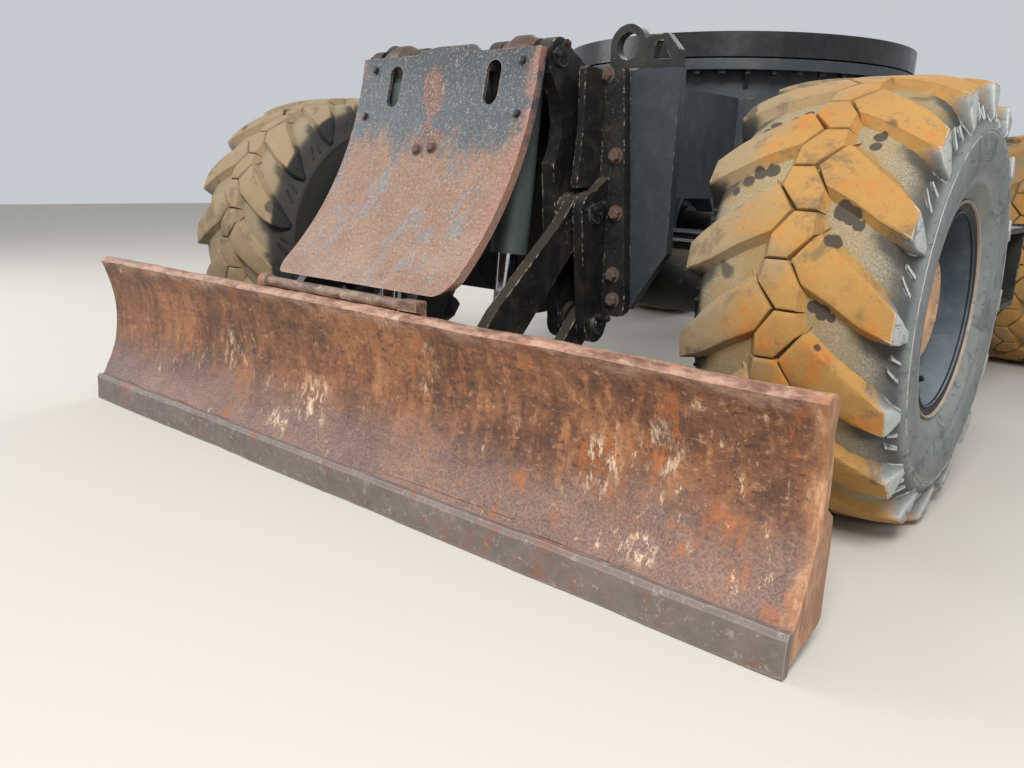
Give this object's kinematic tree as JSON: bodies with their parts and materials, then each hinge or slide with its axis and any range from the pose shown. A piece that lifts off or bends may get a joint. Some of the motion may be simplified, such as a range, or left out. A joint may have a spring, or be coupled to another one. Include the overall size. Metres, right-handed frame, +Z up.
{
  "type": "wheeled excavator undercarriage with dozer blade",
  "caption": "Rolling lower carriage of a wheeled excavator with steered swinging front axle, slewing ring and a front dozer blade on parallel arms.",
  "frame": {"origin": "middle of the bounding box, on the floor the wheels stand on", "axes": "+X to the right seen from the blade, -Y towards the blade, +Z up"},
  "size_m": [2.55, 4.086, 1.336],
  "materials": {
    "chassis_grey": "worn satin grey paint",
    "black_paint": "chipped black paint",
    "guard_steel": "blue-grey paint worn to rust below",
    "blade_steel": "rusty brown, scratched",
    "edge_steel": "worn rusty steel",
    "pin_steel": "greasy bare steel",
    "ring_steel": "gloss black",
    "cylinder_grey": "grey-green paint",
    "chrome_rod": "hard chrome",
    "tyre_rubber": "weathered rubber with dried ochre mud",
    "rim_paint": "blue-grey paint",
    "hub_rust": "orange rust"
  },
  "bodies": {
    "root": {"chassis_frame": "chassis_grey", "front_plate": "chassis_grey", "axle_yoke": "chassis_grey", "blade_bracket": "black_paint", "guard_plate": "guard_steel", "bracket_pins": "pin_steel", "tie_down_eyes": "black_paint", "slew_inner_ring": "ring_steel", "centre_swivel": "chassis_grey", "rear_axle": "black_paint", "travel_gearbox": "chassis_grey", "side_box_left": "chassis_grey", "side_box_right": "chassis_grey", "steps_left": "black_paint", "steps_right": "black_paint"},
    "slew_ring": {"slew_outer_ring": "ring_steel"},
    "drive_shaft": {"prop_shaft": "black_paint"},
    "steer_axle": {"front_axle": "black_paint", "steer_cylinder": "black_paint"},
    "steer_link": {"steer_bar": "chrome_rod"},
    "left_knuckle": {"knuckle_left": "black_paint"},
    "right_knuckle": {"knuckle_right": "black_paint"},
    "upper_arms": {"upper_arm_left": "black_paint", "upper_arm_right": "black_paint"},
    "lower_arm_frame": {"lower_arms": "black_paint"},
    "blade": {"mouldboard": "blade_steel", "cutting_edge": "edge_steel", "rub_bar": "blade_steel", "blade_pins": "pin_steel"},
    "left_barrel": {"lift_barrel_left": "cylinder_grey"},
    "right_barrel": {"lift_barrel_right": "cylinder_grey"},
    "left_rod": {"lift_rod_left": "chrome_rod"},
    "right_rod": {"lift_rod_right": "chrome_rod"},
    "wheel_front_left": {"tyre_front_left": "tyre_rubber", "rim_front_left": "rim_paint", "hub_front_left": "hub_rust"},
    "wheel_front_right": {"tyre_front_right": "tyre_rubber", "rim_front_right": "rim_paint", "hub_front_right": "hub_rust"},
    "wheel_rear_left": {"tyre_rear_left": "tyre_rubber", "rim_rear_left": "rim_paint", "hub_rear_left": "hub_rust"},
    "wheel_rear_right": {"tyre_rear_right": "tyre_rubber", "rim_rear_right": "rim_paint", "hub_rear_right": "hub_rust"}
  },
  "joints": [
    {"name": "slewing", "type": "hinge", "parent": "root", "child": "slew_ring", "pos_m": [0, 0.167, 1.295], "axis": [0, 0, 1], "continuous": true},
    {"name": "shaft_turn", "type": "hinge", "parent": "root", "child": "drive_shaft", "pos_m": [0, 0.057, 0.546], "axis": [0, 1, 0], "continuous": true},
    {"name": "axle_swing", "type": "hinge", "parent": "root", "child": "steer_axle", "pos_m": [0, -1.103, 0.546], "axis": [0, 1, 0], "range_deg": [-7, 7]},
    {"name": "steer_left", "type": "hinge", "parent": "steer_axle", "child": "left_knuckle", "pos_m": [-0.8, -1.103, 0.546], "axis": [0, 0, 1], "range_deg": [-24, 24]},
    {"name": "steer_right", "type": "hinge", "parent": "steer_axle", "child": "right_knuckle", "pos_m": [0.8, -1.103, 0.546], "axis": [0, 0, 1], "range_deg": [-24.5, 24.5]},
    {"name": "steer_bar_slide", "type": "slide", "parent": "steer_axle", "child": "steer_link", "axis": [1, 0, 0], "range_m": [-0.08, 0.08]},
    {"name": "roll_front_left", "type": "hinge", "parent": "left_knuckle", "child": "wheel_front_left", "pos_m": [-1.03, -1.103, 0.546], "axis": [1, 0, 0], "continuous": true},
    {"name": "roll_front_right", "type": "hinge", "parent": "right_knuckle", "child": "wheel_front_right", "pos_m": [1.03, -1.103, 0.546], "axis": [1, 0, 0], "continuous": true},
    {"name": "roll_rear_left", "type": "hinge", "parent": "root", "child": "wheel_rear_left", "pos_m": [-1.03, 1.497, 0.546], "axis": [1, 0, 0], "continuous": true},
    {"name": "roll_rear_right", "type": "hinge", "parent": "root", "child": "wheel_rear_right", "pos_m": [1.03, 1.497, 0.546], "axis": [1, 0, 0], "continuous": true},
    {"name": "arms_lift", "type": "hinge", "parent": "root", "child": "upper_arms", "pos_m": [0, -1.458, 0.739], "axis": [-1, 0, 0], "range_deg": [-17, 44.6]},
    {"name": "lower_arms_lift", "type": "hinge", "parent": "root", "child": "lower_arm_frame", "pos_m": [0, -1.421, 0.438], "axis": [-1, 0, 0], "range_deg": [-17.4, 45]},
    {"name": "blade_level", "type": "hinge", "parent": "upper_arms", "child": "blade", "pos_m": [0, -1.853, 0.383], "axis": [-1, 0, 0], "range_deg": [-45, 17.4]},
    {"name": "barrel_tilt_left", "type": "hinge", "parent": "root", "child": "left_barrel", "pos_m": [-0.228, -1.517, 1.128], "axis": [-1, 0, 0], "range_deg": [-3, 7]},
    {"name": "rod_slide_left", "type": "slide", "parent": "left_barrel", "child": "left_rod", "axis": [0, -0.0957, -0.9954], "range_m": [-0.15, 0.06]},
    {"name": "barrel_tilt_right", "type": "hinge", "parent": "root", "child": "right_barrel", "pos_m": [0.228, -1.517, 1.128], "axis": [-1, 0, 0], "range_deg": [-3, 7]},
    {"name": "rod_slide_right", "type": "slide", "parent": "right_barrel", "child": "right_rod", "axis": [0, -0.0957, -0.9954], "range_m": [-0.15, 0.06]}
  ],
  "couplings": [
    {"joint": "steer_right", "follows": "steer_left", "ratio": 1},
    {"joint": "steer_bar_slide", "follows": "steer_left", "m_per_rad": -0.163},
    {"joint": "lower_arms_lift", "follows": "arms_lift", "ratio": 1},
    {"joint": "blade_level", "follows": "arms_lift", "ratio": -1},
    {"joint": "barrel_tilt_left", "follows": "arms_lift", "ratio": 0.15},
    {"joint": "rod_slide_left", "follows": "arms_lift", "m_per_rad": -0.19},
    {"joint": "barrel_tilt_right", "follows": "arms_lift", "ratio": 0.15},
    {"joint": "rod_slide_right", "follows": "arms_lift", "m_per_rad": -0.19}
  ]
}
